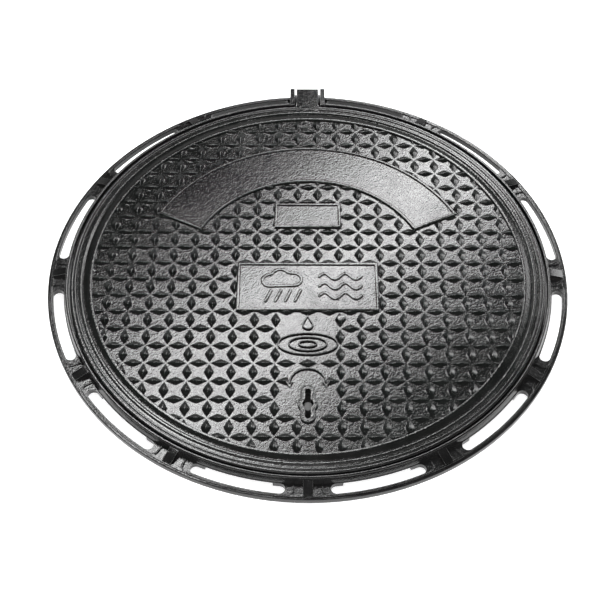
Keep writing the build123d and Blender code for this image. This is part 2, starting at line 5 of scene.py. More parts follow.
import bmesh
import bpy
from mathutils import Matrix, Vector


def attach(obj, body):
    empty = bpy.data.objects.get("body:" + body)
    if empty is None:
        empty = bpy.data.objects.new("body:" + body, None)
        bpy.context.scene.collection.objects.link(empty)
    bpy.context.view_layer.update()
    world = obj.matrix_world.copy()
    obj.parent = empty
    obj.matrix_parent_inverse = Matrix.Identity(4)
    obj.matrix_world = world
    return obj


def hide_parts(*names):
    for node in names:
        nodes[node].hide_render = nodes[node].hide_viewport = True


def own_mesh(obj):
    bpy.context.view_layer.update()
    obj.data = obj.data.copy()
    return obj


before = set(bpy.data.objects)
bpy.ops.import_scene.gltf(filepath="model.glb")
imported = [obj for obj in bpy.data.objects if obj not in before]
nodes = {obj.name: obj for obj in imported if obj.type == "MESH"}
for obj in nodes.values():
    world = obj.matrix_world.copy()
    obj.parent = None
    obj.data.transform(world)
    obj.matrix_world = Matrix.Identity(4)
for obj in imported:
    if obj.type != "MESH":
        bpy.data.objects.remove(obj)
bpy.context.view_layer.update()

# ---- Frame casting ---------------------------------------------------------------
# The ring that is bedded in the road: rim, slotted flange, ribs and hinge cheeks, in one iron casting.
# Sand leaves a fine grain on it, and it is dipped in black bitumen paint, which wears off its edges.


def add_socket(group, name, kind, way, default=None):
    """One named input or output on a node group."""
    socket = group.interface.new_socket(name=name, in_out=way, socket_type=kind)
    if default is not None:
        socket.default_value = default
    return socket


def noise_node(tree, scale, detail, vector, roughness=0.5):
    """A noise texture that reads the object's own coordinates."""
    texture = tree.nodes.new("ShaderNodeTexNoise")
    texture.inputs["Detail"].default_value = detail
    texture.inputs["Roughness"].default_value = roughness
    if isinstance(scale, (int, float)):
        texture.inputs["Scale"].default_value = scale
    else:
        tree.links.new(scale, texture.inputs["Scale"])
    tree.links.new(vector, texture.inputs["Vector"])
    return texture.outputs["Fac"]


def math_node(tree, operation, first, second=None, clamp=False):
    """One Math node; an argument is a socket or a number."""
    node = tree.nodes.new("ShaderNodeMath")
    node.operation = operation
    node.use_clamp = clamp
    for index, value in enumerate((first, second)):
        if value is None:
            continue
        if isinstance(value, (int, float)):
            node.inputs[index].default_value = value
        else:
            tree.links.new(value, node.inputs[index])
    return node.outputs[0]


def remap_node(tree, value, low, high, new_low, new_high):
    """Value from one range to another, held at its ends."""
    node = tree.nodes.new("ShaderNodeMapRange")
    for name, number in (("From Min", low), ("From Max", high), ("To Min", new_low), ("To Max", new_high)):
        if isinstance(number, (int, float)):
            node.inputs[name].default_value = number
        else:
            tree.links.new(number, node.inputs[name])
    tree.links.new(value, node.inputs["Value"])
    return node.outputs["Result"]


def object_vector(tree):
    """The object's own coordinates, which move with it."""
    return tree.nodes.new("ShaderNodeTexCoord").outputs["Object"]


def make_cast_grain():
    """Sand-cast grain under paint: height of fine bumps and shallow dips, and a slow mottle."""
    group = bpy.data.node_groups.new("cast_grain", "ShaderNodeTree")
    add_socket(group, "Grain Scale", "NodeSocketFloat", "INPUT", 360.0)
    add_socket(group, "Dip Scale", "NodeSocketFloat", "INPUT", 150.0)
    add_socket(group, "Dip Share", "NodeSocketFloat", "INPUT", 0.6)
    add_socket(group, "Height", "NodeSocketFloat", "OUTPUT")
    add_socket(group, "Mottle", "NodeSocketFloat", "OUTPUT")
    entry = group.nodes.new("NodeGroupInput")
    leave = group.nodes.new("NodeGroupOutput")
    place = object_vector(group)
    grain = noise_node(group, entry.outputs["Grain Scale"], 3.0, place, 0.55)
    dips = noise_node(group, entry.outputs["Dip Scale"], 2.0, place)
    dips = math_node(group, "MULTIPLY", dips, entry.outputs["Dip Share"])
    group.links.new(math_node(group, "ADD", grain, dips), leave.inputs["Height"])
    group.links.new(noise_node(group, 34.0, 3.0, place, 0.6), leave.inputs["Mottle"])
    return group


def make_edge_wear():
    """Mask of worn outer edges, broken up along their length."""
    group = bpy.data.node_groups.new("edge_wear", "ShaderNodeTree")
    add_socket(group, "Reach", "NodeSocketFloat", "INPUT", 0.0022)
    add_socket(group, "Patch Scale", "NodeSocketFloat", "INPUT", 90.0)
    add_socket(group, "Mask", "NodeSocketFloat", "OUTPUT")
    entry = group.nodes.new("NodeGroupInput")
    leave = group.nodes.new("NodeGroupOutput")
    inside = group.nodes.new("ShaderNodeAmbientOcclusion")
    inside.inside = True
    inside.only_local = True
    inside.samples = 6
    group.links.new(entry.outputs["Reach"], inside.inputs["Distance"])
    edge = remap_node(group, inside.outputs["AO"], 0.62, 0.25, 0.0, 1.0)
    patches = noise_node(group, entry.outputs["Patch Scale"], 4.0, object_vector(group), 0.7)
    patches = remap_node(group, patches, 0.35, 0.62, 0.15, 1.0)
    group.links.new(math_node(group, "MULTIPLY", edge, patches, True), leave.inputs["Mask"])
    return group


def make_settled_dust():
    """Mask of fine dust that gathers in corners and low spots."""
    group = bpy.data.node_groups.new("settled_dust", "ShaderNodeTree")
    add_socket(group, "Reach", "NodeSocketFloat", "INPUT", 0.006)
    add_socket(group, "Patch Scale", "NodeSocketFloat", "INPUT", 22.0)
    add_socket(group, "Mask", "NodeSocketFloat", "OUTPUT")
    entry = group.nodes.new("NodeGroupInput")
    leave = group.nodes.new("NodeGroupOutput")
    corner = group.nodes.new("ShaderNodeAmbientOcclusion")
    corner.only_local = True
    corner.samples = 6
    group.links.new(entry.outputs["Reach"], corner.inputs["Distance"])
    low = remap_node(group, corner.outputs["AO"], 0.95, 0.55, 0.0, 1.0)
    patches = noise_node(group, entry.outputs["Patch Scale"], 5.0, object_vector(group), 0.65)
    patches = remap_node(group, patches, 0.42, 0.68, 0.05, 1.0)
    group.links.new(math_node(group, "MULTIPLY", low, patches, True), leave.inputs["Mask"])
    return group


cast_grain = make_cast_grain()
edge_wear = make_edge_wear()
settled_dust = make_settled_dust()


def mix_colour(tree, mask, first, second):
    """A colour mix; an argument is a socket or an (r, g, b) colour."""
    node = tree.nodes.new("ShaderNodeMix")
    node.data_type = "RGBA"
    tree.links.new(mask, node.inputs["Factor"])
    for name, value in (("A", first), ("B", second)):
        socket = [s for s in node.inputs if s.name == name and s.type == "RGBA"][0]
        if isinstance(value, tuple):
            socket.default_value = (*value, 1.0)
        else:
            tree.links.new(value, socket)
    return [s for s in node.outputs if s.type == "RGBA"][0]


def new_material(name):
    """A material with its tree and its Principled shader."""
    material = bpy.data.materials.new(name)
    material.use_nodes = True
    shader = material.node_tree.nodes["Principled BSDF"]
    return material, material.node_tree, shader


def place_group(tree, group, **values):
    """A shader group in a tree; underscores in the keywords stand for spaces."""
    node = tree.nodes.new("ShaderNodeGroup")
    node.node_tree = group
    for name, value in values.items():
        node.inputs[name.replace("_", " ")].default_value = value
    return node


def bump_node(tree, height, depth, strength=1.0):
    """A Bump node whose depth is in metres."""
    node = tree.nodes.new("ShaderNodeBump")
    node.inputs["Distance"].default_value = depth
    node.inputs["Strength"].default_value = strength
    tree.links.new(height, node.inputs["Height"])
    return node.outputs["Normal"]


BARE_IRON = (0.32, 0.32, 0.32)
DUST = (0.058, 0.055, 0.052)


def painted_iron(name, paint, shine, dull, depth, grain_scale=360.0, wear=0.5, dust=0.25):
    """Cast iron under black bitumen paint, with bare edges, duller patches and a little dust."""
    material, tree, shader = new_material(name)
    grain = place_group(tree, cast_grain, Grain_Scale=grain_scale)
    worn = place_group(tree, edge_wear)
    dusty = place_group(tree, settled_dust)
    bare = math_node(tree, "MULTIPLY", worn.outputs["Mask"], wear)
    grey = math_node(tree, "MULTIPLY", dusty.outputs["Mask"], dust)
    tone = remap_node(tree, grain.outputs["Mottle"], 0.3, 0.7, 0.0, 1.0)
    colour = mix_colour(tree, tone, tuple(0.75 * c for c in paint), tuple(1.3 * c for c in paint))
    colour = mix_colour(tree, grey, colour, DUST)
    colour = mix_colour(tree, bare, colour, BARE_IRON)
    tree.links.new(colour, shader.inputs["Base Color"])
    roughness = remap_node(tree, grain.outputs["Mottle"], 0.3, 0.7, shine, dull)
    patches = noise_node(tree, 9.0, 6.0, object_vector(tree), 0.7)
    roughness = math_node(tree, "ADD", roughness, remap_node(tree, patches, 0.50, 0.72, 0.0, 0.10))
    roughness = math_node(tree, "ADD", roughness, math_node(tree, "MULTIPLY", grey, 0.35), True)
    tree.links.new(roughness, shader.inputs["Roughness"])
    tree.links.new(math_node(tree, "MULTIPLY", bare, 0.6), shader.inputs["Metallic"])
    tree.links.new(bump_node(tree, grain.outputs["Height"], depth), shader.inputs["Normal"])
    shader.inputs["IOR"].default_value = 1.56
    return material


def finish_piece(obj, body, slot_name, material, *stands_for):
    """Gives a piece its material and its body; the slot name is not used."""
    obj.data.materials.clear()
    obj.data.materials.append(material)
    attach(obj, body)
    if stands_for:
        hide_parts(*stands_for)
    return obj


def link_mesh(name, mesh):
    """A new object for a mesh."""
    obj = bpy.data.objects.new(name, mesh)
    bpy.context.scene.collection.objects.link(obj)
    return obj


def rounded_casting(name, node, edge_round, steps=2, sharp=32.0):
    """A node's own shape with its sharp edges rounded, as a casting's are."""
    mesh = nodes[node].data.copy()
    shape = bmesh.new()
    shape.from_mesh(mesh)
    bmesh.ops.remove_doubles(shape, verts=shape.verts, dist=1e-6)
    bmesh.ops.dissolve_limit(shape, angle_limit=math.radians(1.0), verts=shape.verts, edges=shape.edges)
    wide = [face for face in shape.faces if len(face.verts) > 4]
    bmesh.ops.triangulate(shape, faces=wide, ngon_method="BEAUTY")
    shape.to_mesh(mesh)
    shape.free()
    stale_names = ("custom_normal", "sharp_edge", "sharp_face")
    for stale in [item for item in mesh.attributes if item.name in stale_names]:
        mesh.attributes.remove(stale)
    mesh.polygons.foreach_set("use_smooth", [True] * len(mesh.polygons))
    mesh.set_sharp_from_angle(angle=math.radians(sharp))
    obj = link_mesh(name, mesh)
    bevel = obj.modifiers.new("edges", "BEVEL")
    bevel.limit_method = "ANGLE"
    bevel.angle_limit = math.radians(sharp)
    bevel.width = edge_round
    bevel.segments = steps
    bevel.use_clamp_overlap = True
    bevel.miter_outer = "MITER_ARC"
    bevel.harden_normals = True
    bpy.context.view_layer.update()
    seen = obj.evaluated_get(bpy.context.evaluated_depsgraph_get())
    done = bpy.data.meshes.new_from_object(seen)
    obj.modifiers.clear()
    obj.data = done
    return obj


frame_paint = painted_iron("frame_paint", (0.009, 0.009, 0.009), 0.09, 0.18, 0.00026, wear=0.8)
frame_casting = rounded_casting("frame_casting", "frame", 0.0010)
finish_piece(frame_casting, "frame", "frame_iron", frame_paint, "frame")

# ---- Raised beads on the frame -----------------------------------------------------
# A low bead is cast round the outside of each anchor slot and turns in to the rim at both ends.
# A rounded one runs along the rim's top, up to the hinge, where feet and wheels wear it bright.


def path_normals(points, closed):
    """Left-hand normals of a plan path at its points, lengthened at corners to keep the width."""
    sides = []
    for first, second in zip(points, points[1:] + points[:1]):
        along = (second - first).normalized()
        sides.append(Vector((-along.y, along.x)))
    if not closed:
        sides[-1] = sides[-2]
    normals = []
    for index, side in enumerate(sides):
        before = sides[index - 1] if closed or index > 0 else side
        middle = (before + side).normalized()
        normals.append(middle / max(middle.dot(side), 0.6))
    return normals


def raised_line(shape, points, width, low, high, closed=False, crown=0.0010, drop=0.0009):
    """Adds a rounded raised line along a plan path to a bmesh; crown and drop size its rounded shoulder."""
    points = [Vector(p) for p in points]
    normals = path_normals(points, closed)
    half = width / 2
    shoulder = [math.radians(a) for a in (0, 22.5, 45, 67.5, 90)]
    profile = [(half, low)]
    profile += [(half - crown * (1 - math.cos(a)), high - drop * (1 - math.sin(a))) for a in shoulder]
    if half > crown:
        profile.append((0.0, high))
    if closed:
        loops = [[(p, n) for p, n in zip(points, normals)], [(p, -n) for p, n in zip(points, normals)][::-1]]
    else:
        turns = [math.pi * k / 6 for k in range(1, 6)]
        first, last = normals[0], normals[-1]
        around_end = [(points[-1], Vector((last.x * math.cos(t) + last.y * math.sin(t),
                                           last.y * math.cos(t) - last.x * math.sin(t)))) for t in turns]
        around_start = [(points[0], -Vector((first.x * math.cos(t) + first.y * math.sin(t),
                                             first.y * math.cos(t) - first.x * math.sin(t)))) for t in turns]
        forward = [(p, n) for p, n in zip(points, normals)]
        back = [(p, -n) for p, n in zip(points, normals)][::-1]
        loops = [forward + around_end + back + around_start]
    made = []
    for loop in loops:
        rows = [[shape.verts.new((*(centre + out * reach), height)) for reach, height in profile]
                for centre, out in loop]
        made += [v for row in rows for v in row]
        for row, after in zip(rows, rows[1:] + rows[:1]):
            for step in range(len(profile) - 1):
                shape.faces.new((row[step], after[step], after[step + 1], row[step + 1]))
    bmesh.ops.remove_doubles(shape, verts=made, dist=1e-6)


def shape_to_object(name, shape, smooth_angle=40.0):
    """Finishes a bmesh into a smooth-shaded object."""
    bmesh.ops.dissolve_degenerate(shape, dist=1e-7, edges=shape.edges)
    bmesh.ops.recalc_face_normals(shape, faces=shape.faces)
    mesh = bpy.data.meshes.new(name)
    shape.to_mesh(mesh)
    shape.free()
    mesh.polygons.foreach_set("use_smooth", [True] * len(mesh.polygons))
    mesh.set_sharp_from_angle(angle=math.radians(smooth_angle))
    return link_mesh(name, mesh)


def polar(radius, degrees):
    """A plan point from a radius and an angle."""
    return (radius * math.cos(math.radians(degrees)), radius * math.sin(math.radians(degrees)))


SLOT_COUNT = 12
FLANGE_TOP = 0.034
RIM_TOP = 0.046
RIM_TOP_RADIUS = 0.3702
RIM_LINE_WIDTH = 0.0042
WALL_RADIUS = 0.3745        # foot of the rim's outer wall
BEAD_RADIUS = 0.3942
BEAD_WIDTH, BEAD_HEIGHT, BEAD_CROWN = 0.0034, 0.0019, 0.0014
BEAD_FOOT = 0.0006          # how far a bead's walls go down into the flange
BEAD_HALF_ANGLE = 11.9      # half of what one bead spans, in degrees
BEAD_CORNER = 1.2           # how much of that its rounded corner takes

beads = bmesh.new()
for slot_index in range(SLOT_COUNT):
    middle = (slot_index + 0.5) * 360.0 / SLOT_COUNT
    edge = BEAD_HALF_ANGLE
    inner = edge - BEAD_CORNER
    corner_drop = BEAD_RADIUS * math.radians(BEAD_CORNER)
    line = [polar(WALL_RADIUS - 0.001, middle - edge), polar(BEAD_RADIUS - corner_drop, middle - edge)]
    for step in (1, 2, 3):
        turn = math.radians(90.0 * step / 4)
        line.append(polar(BEAD_RADIUS - corner_drop * (1 - math.sin(turn)),
                          middle - inner - BEAD_CORNER * math.cos(turn)))
    mirrored = line[::-1]
    line += [polar(BEAD_RADIUS, middle - inner + 2 * inner * k / 14) for k in range(15)]
    for x, y in mirrored:
        angle = math.degrees(math.atan2(y, x))
        line.append(polar(math.hypot(x, y), 2 * middle - angle))
    raised_line(beads, line, BEAD_WIDTH, FLANGE_TOP - BEAD_FOOT, FLANGE_TOP + BEAD_HEIGHT,
                crown=BEAD_CROWN, drop=BEAD_CROWN)
rim_line = [polar(RIM_TOP_RADIUS, angle) for angle in range(95, 446, 2)]
raised_line(beads, rim_line, RIM_LINE_WIDTH, RIM_TOP - 0.0015, RIM_TOP + 0.0003, crown=0.0018, drop=0.0011)
slot_beads = shape_to_object("slot_beads", beads)
finish_piece(slot_beads, "frame", "frame_iron", frame_paint)

# ---- Lid casting -------------------------------------------------------------------
# The lid is one iron casting with a ringed border, a tongue for the hinge and ribs underneath.
# It has the frame's paint, a little glossier where feet have not worn it yet.

lid_paint = painted_iron("lid_paint", (0.008, 0.008, 0.008), 0.07, 0.15, 0.00024, wear=0.8)
lid_casting = rounded_casting("lid_casting", "cover", 0.0008)
finish_piece(lid_casting, "cover", "cover_iron", lid_paint, "cover")

# ---- Petal tread -------------------------------------------------------------------
# Rows of low four-sided petals cross at right angles and leave four-pointed stars between them.
# They are cast with the lid, stop at the border and the blank plates, and give the road its grip.

PITCH = 0.032               # from one crossing of the rows to the next
TREAD_FLOOR = 0.043
PETAL_HEIGHT = 0.00285
PETAL_LENGTH = 0.0292
PETAL_WIDTH = 0.0138
PETAL_SINK = 0.00008        # its edge lies this far in the floor
TIP_SOFT, RIDGE_SOFT, FOOT_SOFT = 0.006, 0.008, 0.022    # how round its apex, ridge and foot are
RIDGE_SCALE = 0.91          # makes up for what the round ridge takes off
FOOT_DROP = 0.008
FIELD_RADIUS = 0.332
LIP_HALF = 0.002            # half of the raised line round each plate
BAND_INNER, BAND_OUTER, BAND_HALF_ANGLE = 0.188, 0.265, 63.5
SMALL_PLATE = (0.0, 0.114, 0.105, 0.051)    # middle x, middle y, width, depth
LARGE_PLATE = (0.0, -0.032, 0.216, 0.0935)
petal_luck = random.Random(7)


def petal_shape(middle, turn):
    """One petal as a bmesh: a long low pyramid with a soft ridge and a filleted foot."""
    length = PETAL_LENGTH * (1 + petal_luck.uniform(-0.02, 0.02))
    width = PETAL_WIDTH * (1 + petal_luck.uniform(-0.05, 0.05))
    height = PETAL_HEIGHT * (1 + petal_luck.uniform(-0.06, 0.0))
    along = [math.copysign(abs(k / 6) ** 1.1, k) for k in range(-6, 7)]
    half = (0.12, 0.5, 0.88, 1.08, 1.35, 1.7)
    across = (*(-t for t in reversed(half)), 0.0, *half)
    cosine, sine = math.cos(turn), math.sin(turn)
    shape = bmesh.new()
    rows = []
    for s in along:
        taper = 1 - math.sqrt(s * s + TIP_SOFT) ** 1.25
        spread = width / 2 * max(taper, 0.0) + 0.0002
        row = []
        for t in across:
            slope = (1 - math.sqrt(t * t + RIDGE_SOFT)) / RIDGE_SCALE
            rise = 0.5 * (slope + math.sqrt(slope * slope + FOOT_SOFT)) - FOOT_DROP
            z = TREAD_FLOOR + height * max(taper, 0.0) * rise - PETAL_SINK
            x, y = s * length / 2, t * spread
            place = (middle[0] + x * cosine - y * sine, middle[1] + x * sine + y * cosine, z)
            row.append(shape.verts.new(place))
        rows.append(row)
    for row, after in zip(rows, rows[1:]):
        for step in range(len(across) - 1):
            shape.faces.new((row[step], after[step], after[step + 1], row[step + 1]))
    return shape


def keep_side(shape, point, outward):
    """Cuts a shape by an upright plane and keeps what lies on the outward side."""
    geometry = shape.verts[:] + shape.edges[:] + shape.faces[:]
    bmesh.ops.bisect_plane(shape, geom=geometry, dist=1e-7, plane_co=(*point, 0.0), plane_no=(*outward, 0.0),
                           clear_inner=True)


def cut_out(shape, walls):
    """What is left of a shape outside a convex plan area, given its walls as (point, outward) pairs."""
    parts = []
    for point, outward in walls:
        part = shape.copy()
        keep_side(part, point, outward)
        if part.faces:
            parts.append(part)
        else:
            part.free()
        keep_side(shape, point, (-outward[0], -outward[1]))
        if not shape.faces:
            break
    shape.free()
    return parts


def plate_walls(plate):
    """The four walls of a rectangular plate, at the middle of its raised line."""
    x, y, width, depth = plate
    half_x, half_y = width / 2 - LIP_HALF, depth / 2 - LIP_HALF
    return [((x + half_x, y), (1, 0)), ((x - half_x, y), (-1, 0)),
            ((x, y + half_y), (0, 1)), ((x, y - half_y), (0, -1))]


def band_walls(middle):
    """The walls of the curved plate as a petal near it meets them."""
    angle = math.degrees(math.atan2(middle[1], middle[0]))
    out = polar(1.0, angle)
    inner, outer = BAND_INNER + LIP_HALF, BAND_OUTER - LIP_HALF
    walls = [(polar(inner, angle), (-out[0], -out[1])), (polar(outer, angle), out)]
    lip_turn = math.degrees(LIP_HALF / inner)
    for side in (-1, 1):
        end = 90.0 + side * (BAND_HALF_ANGLE - lip_turn)
        walls.append((polar(inner, end), polar(1.0, end + side * 90.0)))
    return walls


def near_plate(middle, plate):
    """True if a petal could meet a rectangular plate."""
    x, y, width, depth = plate
    return abs(middle[0] - x) < width / 2 + 0.016 and abs(middle[1] - y) < depth / 2 + 0.016


def near_band(middle):
    """True if a petal could meet the curved plate."""
    radius = math.hypot(*middle)
    away = abs(math.degrees(math.atan2(middle[1], middle[0])) - 90.0)
    return BAND_INNER - 0.016 < radius < BAND_OUTER + 0.016 and away < BAND_HALF_ANGLE + 6.0


def left_out(column, row, upright):
    """Petals that the marks and the keyhole take the place of."""
    if upright:
        in_marks = abs(column) < 1.4 and -5.4 < row < -2.0
        at_keyhole = abs(column) < 1.0 and -8.4 < row < -5.6
        return in_marks or at_keyhole
    in_marks = abs(column) < 1.4 and -5.2 < row < -2.7
    at_keyhole = (column == 0 and -8.7 < row < -6.2) or (abs(column) == 1 and row == -7.5)
    return in_marks or at_keyhole


def join_shape(target, part):
    """Adds one bmesh to another and frees it."""
    copied = {v: target.verts.new(v.co) for v in part.verts}
    for face in part.faces:
        target.faces.new([copied[v] for v in face.verts])
    part.free()


tread = bmesh.new()
reach = int(FIELD_RADIUS / PITCH) + 1
for upright in (False, True):
    for i in range(-reach, reach + 1):
        for j in range(-reach - 1, reach + 1):
            column, row = (j + 0.5, i) if upright else (i, j + 0.5)
            middle = (column * PITCH, row * PITCH)
            radius = math.hypot(*middle)
            if radius > FIELD_RADIUS + 0.012 or left_out(column, row, upright):
                continue
            parts = [petal_shape(middle, math.pi / 2 if upright else 0.0)]
            if radius > FIELD_RADIUS - 0.017:
                out = polar(1.0, math.degrees(math.atan2(middle[1], middle[0])))
                edge = FIELD_RADIUS + 0.001
                keep_side(parts[0], (out[0] * edge, out[1] * edge), (-out[0], -out[1]))
            if abs(column) == 1 and row == -6.5:
                side = math.copysign(1.0, column)
                keep_side(parts[0], (side * 0.0285, middle[1]), (side, 0.0))
            for plate in (SMALL_PLATE, LARGE_PLATE):
                if near_plate(middle, plate):
                    parts = [p for part in parts for p in cut_out(part, plate_walls(plate))]
            if near_band(middle):
                parts = [p for part in parts for p in cut_out(part, band_walls(middle))]
            for part in parts:
                join_shape(tread, part)
petal_tread = shape_to_object("petal_tread", tread, 80.0)
finish_piece(petal_tread, "cover", "cover_iron", lid_paint)

# ---- Raised marks on the lid -------------------------------------------------------
# Plain raised lines cast into the lid: a rain cloud and waves on the large plate, a drop over ripples,
# and the turning arrow over the keyhole. They tell what the chamber carries, in no language.

MARK_TOP = 0.0458
LINE_FOOT = TREAD_FLOOR - 0.0005    # the walls of raised lines go a little into the tread's floor
PLATE_FLOOR = 0.0442
PLATE_FOOT = PLATE_FLOOR - 0.0005


def arc_points(x, y, radius, start, end, count):
    """Points of a circular arc in plan."""
    angles = [math.radians(start + (end - start) * k / (count - 1)) for k in range(count)]
    return [(x + radius * math.cos(angle), y + radius * math.sin(angle)) for angle in angles]


marks = bmesh.new()
STROKE = 0.0052
FINE_STROKE = 0.0026
ARROW_STROKE = 0.0030
KEYHOLE_STROKE = 0.0028
cloud = (arc_points(-0.058, -0.020, 0.0115, 262, 110, 10) + arc_points(-0.042, -0.0115, 0.0135, 160, 35, 10)
         + arc_points(-0.022, -0.018, 0.0125, 105, -82, 12))
raised_line(marks, cloud, STROKE, PLATE_FOOT, MARK_TOP, closed=True)
for x in (-0.060, -0.045, -0.030, -0.015):
    raised_line(marks, [(x + 0.004, -0.040), (x, -0.050), (x - 0.004, -0.060)], STROKE,
                PLATE_FOOT, MARK_TOP)
for y in (-0.012, -0.031, -0.050):
    wave = [(0.018 + 0.064 * k / 32, y + 0.0058 * math.sin(4 * math.pi * k / 32)) for k in range(33)]
    raised_line(marks, wave, STROKE, PLATE_FOOT, MARK_TOP)

DROP_Y, RIPPLE_Y = -0.106, -0.141
drop = [(0.0, DROP_Y + 0.0175)] + arc_points(0.0, DROP_Y, 0.0075, 145, 395, 16)
raised_line(marks, drop, FINE_STROKE, LINE_FOOT, MARK_TOP, closed=True)
for reach_x, reach_y in ((0.013, 0.0055), (0.028, 0.0125), (0.044, 0.0195)):
    ripple = [(reach_x * math.cos(math.radians(angle)), RIPPLE_Y + reach_y * math.sin(math.radians(angle)))
              for angle in range(0, 360, 8)]
    raised_line(marks, ripple, FINE_STROKE, LINE_FOOT, MARK_TOP, closed=True)
STUD_WIDTH = 0.0130
stud = [(0.0505, -0.0925), (0.0515, -0.0925)]
raised_line(marks, stud, STUD_WIDTH, LINE_FOOT, MARK_TOP - 0.0003, crown=0.0012)

ARROW_Y, ARROW_RADIUS = -0.2125, 0.0265
arrow = arc_points(0.0, ARROW_Y, ARROW_RADIUS, 178, 8, 24)
raised_line(marks, arrow, ARROW_STROKE, LINE_FOOT, MARK_TOP)
for side in (-1, 1):
    tip = (side * ARROW_RADIUS, ARROW_Y - 0.005)
    for lean in (-0.0042, 0.0042):
        barb = (tip[0] + lean, tip[1] + 0.0070)
        raised_line(marks, [tip, barb], FINE_STROKE, LINE_FOOT, MARK_TOP)

KEYHOLE_Y = -0.248
RIM_LINE_OUT = 0.0053       # keyhole's edge out to the line on its rim
slot_half, slot_end, round_reach = 0.0043 + RIM_LINE_OUT, 0.0217, 0.0084 + RIM_LINE_OUT
meet = math.degrees(math.acos(slot_half / round_reach))
keyhole_line = (arc_points(0.0, KEYHOLE_Y, round_reach, -meet, meet, 9)
                + arc_points(0.0, KEYHOLE_Y + slot_end, slot_half, 0, 180, 13)
                + arc_points(0.0, KEYHOLE_Y, round_reach, 180 - meet, 180 + meet, 9)
                + arc_points(0.0, KEYHOLE_Y - slot_end, slot_half, 180, 360, 13))
raised_line(marks, keyhole_line, KEYHOLE_STROKE, LINE_FOOT, MARK_TOP + 0.0002, closed=True,
            crown=0.0012, drop=0.0010)
lid_marks = shape_to_object("lid_marks", marks)
finish_piece(lid_marks, "cover", "cover_iron", lid_paint)

# ---- Rounded lines on the lid ------------------------------------------------------
# The rings of the border and the lines round the blank plates are rounded along their tops.
# Each takes up the square line of the plain casting below it and shows as a thin bright edge.

LINE_TOP = 0.04635
LINE_WIDTH, LINE_CROWN, LINE_DROP = 0.0054, 0.0019, 0.0015
BORDER_RINGS = (                # radius, width and top of each ring
    (0.3342, 0.0054, 0.0463),
    (0.34875, 0.0046, 0.0463),
    (0.35725, 0.0036, 0.0462),
    (0.3623, 0.0046, 0.0455),
)


def plate_line(outline):
    """The rounded line round one blank plate."""
    raised_line(lines, outline, LINE_WIDTH, LINE_FOOT, LINE_TOP, closed=True,
                crown=LINE_CROWN, drop=LINE_DROP)


lines = bmesh.new()
for radius, width, top in BORDER_RINGS:
    circle = [polar(radius, 2 * k) for k in range(180)]
    raised_line(lines, circle, width, TREAD_FLOOR, top, closed=True, crown=0.0014, drop=0.0012)
for x, y, width, depth in (SMALL_PLATE, LARGE_PLATE):
    half_x, half_y = width / 2 - LIP_HALF, depth / 2 - LIP_HALF
    plate_line([(x + half_x, y + half_y), (x - half_x, y + half_y),
                (x - half_x, y - half_y), (x + half_x, y - half_y)])
band_turn = BAND_HALF_ANGLE - math.degrees(LIP_HALF / (BAND_INNER + BAND_OUTER) * 2)
plate_line(arc_points(0.0, 0.0, BAND_INNER + LIP_HALF, 90 - band_turn, 90 + band_turn, 65)
           + arc_points(0.0, 0.0, BAND_OUTER - LIP_HALF, 90 + band_turn, 90 - band_turn, 65))
lid_lines = shape_to_object("lid_lines", lines)
finish_piece(lid_lines, "cover", "cover_iron", lid_paint)

# ---- Hinge pieces ------------------------------------------------------------------
# A ground steel pin, turned bronze bushes, black nylon washers and two sprung roll pins.
# The pin carries a film of grease, so it is darker in patches and finely streaked.


def machined(name, colour, shine, dull, metal, streak_scale, depth=0.00002):
    """Turned or rolled metal with fine streaks round it and darker patches."""
    material, tree, shader = new_material(name)
    stretch = tree.nodes.new("ShaderNodeMapping")
    stretch.inputs["Scale"].default_value = (1.0, 0.12, 0.12)
    tree.links.new(object_vector(tree), stretch.inputs["Vector"])
    streaks = noise_node(tree, streak_scale, 4.0, stretch.outputs["Vector"], 0.6)
    patches = noise_node(tree, 60.0, 3.0, object_vector(tree), 0.6)
    tone = remap_node(tree, patches, 0.3, 0.7, 0.0, 1.0)
    shade = mix_colour(tree, tone, tuple(0.6 * c for c in colour), colour)
    tree.links.new(shade, shader.inputs["Base Color"])
    tree.links.new(remap_node(tree, streaks, 0.3, 0.7, shine, dull), shader.inputs["Roughness"])
    shader.inputs["Metallic"].default_value = metal
    tree.links.new(bump_node(tree, streaks, depth), shader.inputs["Normal"])
    return material


def moulded(name, colour, shine, dull, scale, depth):
    """Rubber or nylon with a fine matte skin and pale scuffs."""
    material, tree, shader = new_material(name)
    grain = place_group(tree, cast_grain, Grain_Scale=scale)
    scuffs = place_group(tree, edge_wear, Reach=0.0008)
    worn = math_node(tree, "MULTIPLY", scuffs.outputs["Mask"], 0.4)
    shade = mix_colour(tree, worn, colour, tuple(min(1.0, 2.5 * c + 0.03) for c in colour))
    tree.links.new(shade, shader.inputs["Base Color"])
    roughness = remap_node(tree, grain.outputs["Mottle"], 0.3, 0.7, shine, dull)
    tree.links.new(roughness, shader.inputs["Roughness"])
    tree.links.new(bump_node(tree, grain.outputs["Height"], depth), shader.inputs["Normal"])
    return material


def dress_nodes(material, names):
    """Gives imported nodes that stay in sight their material."""
    for name in names:
        mesh_slots = nodes[name].data.materials
        if len(mesh_slots) == 0:
            mesh_slots.append(material)
        for index in range(len(mesh_slots)):
            mesh_slots[index] = material


dress_nodes(machined("greased_pin", (0.36, 0.36, 0.37), 0.22, 0.42, 1.0, 900.0), ["hinge_pin"])
dress_nodes(machined("turned_bronze", (0.50, 0.33, 0.16), 0.28, 0.45, 1.0, 700.0),
            ["hinge_bush_left", "hinge_bush_right"])
dress_nodes(moulded("black_nylon", (0.030, 0.030, 0.032), 0.45, 0.6, 900.0, 0.00005),
            ["hinge_washer_left", "hinge_washer_right"])
blued_spring = machined("blued_spring", (0.14, 0.14, 0.16), 0.3, 0.5, 1.0, 800.0)
dress_nodes(blued_spring, ["pin_lock_left", "pin_lock_right"])
